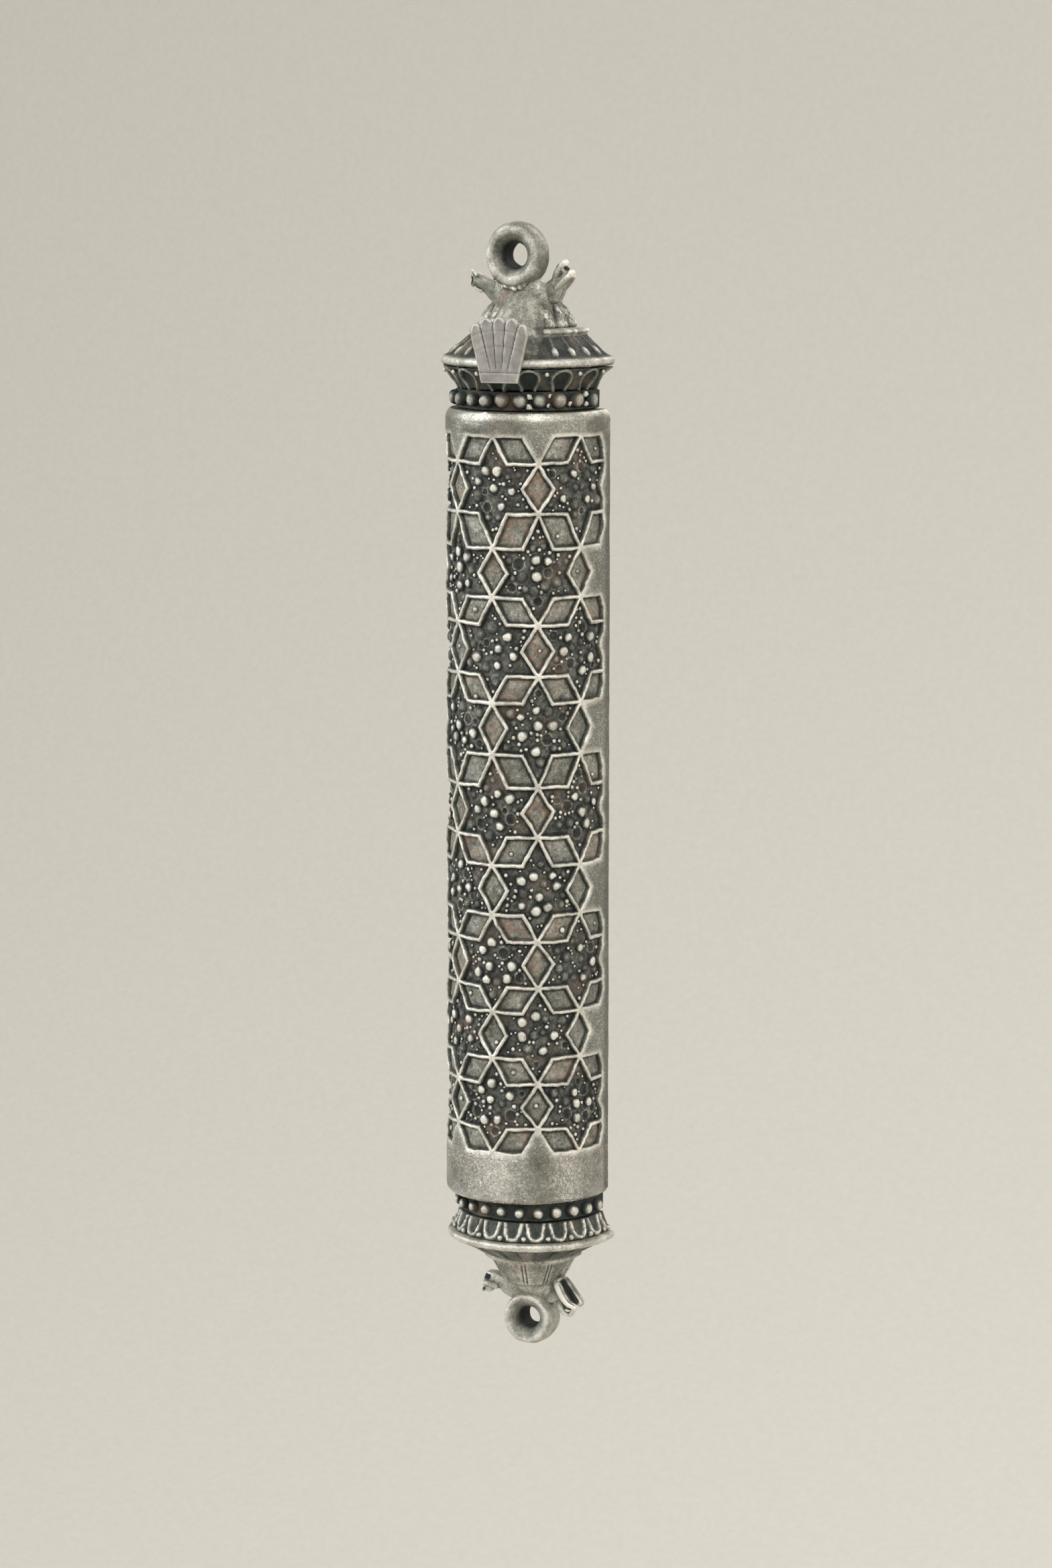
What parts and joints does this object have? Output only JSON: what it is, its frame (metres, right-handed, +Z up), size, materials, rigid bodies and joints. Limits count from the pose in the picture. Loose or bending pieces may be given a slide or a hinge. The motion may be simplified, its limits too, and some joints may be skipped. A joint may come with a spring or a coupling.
{
  "type": "mezuzah case",
  "caption": "Half-round mezuzah case with a pierced star lattice, beaded cornices, pointed finials and hanging rings, clipped to a wall plate and holding a rolled parchment.",
  "frame": {"origin": "centre of the adhesive strip's wall face, which is the face that meets the doorpost", "axes": "+Z up along the case's length, +Y into the wall, front towards -Y, +X to the viewer's right"},
  "size_m": [0.022, 0.0149, 0.1407],
  "materials": {
    "antique_pewter": "antiqued, dark in the recesses and rubbed bright on the edges",
    "oxidised_pewter": "granulated, darkened with worn bright grains",
    "brushed_plaque": "brushed up and down, bright cut edges",
    "plain_pewter": "rolled sheet, satin",
    "spring_steel": "satin",
    "adhesive_foam": "matte foam",
    "parchment": "matte skin",
    "clear_film": "clear glossy film"
  },
  "bodies": {
    "wall_plate": {"back_cover": "plain_pewter", "cover_spring_upper": "spring_steel", "cover_spring_lower": "spring_steel", "rivet_upper": "spring_steel", "rivet_lower": "spring_steel", "adhesive_strip": "adhesive_foam"},
    "case_front": {"front_shell": "oxidised_pewter", "lattice_sleeve": "antique_pewter", "upper_bead_collar": "antique_pewter", "upper_cornice": "antique_pewter", "roof_canopy": "antique_pewter", "upper_bell": "antique_pewter", "upper_hanging_ring": "antique_pewter", "upper_left_leaf": "antique_pewter", "upper_right_leaf": "antique_pewter", "emblem_plaque": "brushed_plaque", "emblem_pin_left": "oxidised_pewter", "emblem_pin_right": "oxidised_pewter", "lower_bead_collar": "antique_pewter", "lower_cornice": "antique_pewter", "lower_tier": "antique_pewter", "fluted_cone": "antique_pewter", "lower_hanging_ring": "antique_pewter", "lower_left_leaf": "antique_pewter", "lower_right_leaf": "antique_pewter"},
    "scroll": {"parchment_scroll": "parchment", "scroll_sleeve": "clear_film"}
  },
  "joints": [
    {"name": "case_off", "type": "slide", "parent": "wall_plate", "child": "case_front", "axis": [0, -1, 0], "range_m": [0, 0.04]},
    {"name": "scroll_out", "type": "slide", "parent": "wall_plate", "child": "scroll", "axis": [0, -1, 0], "range_m": [0, 0.024]}
  ],
  "couplings": [
    {"joint": "scroll_out", "follows": "case_off", "ratio": 0.6}
  ]
}
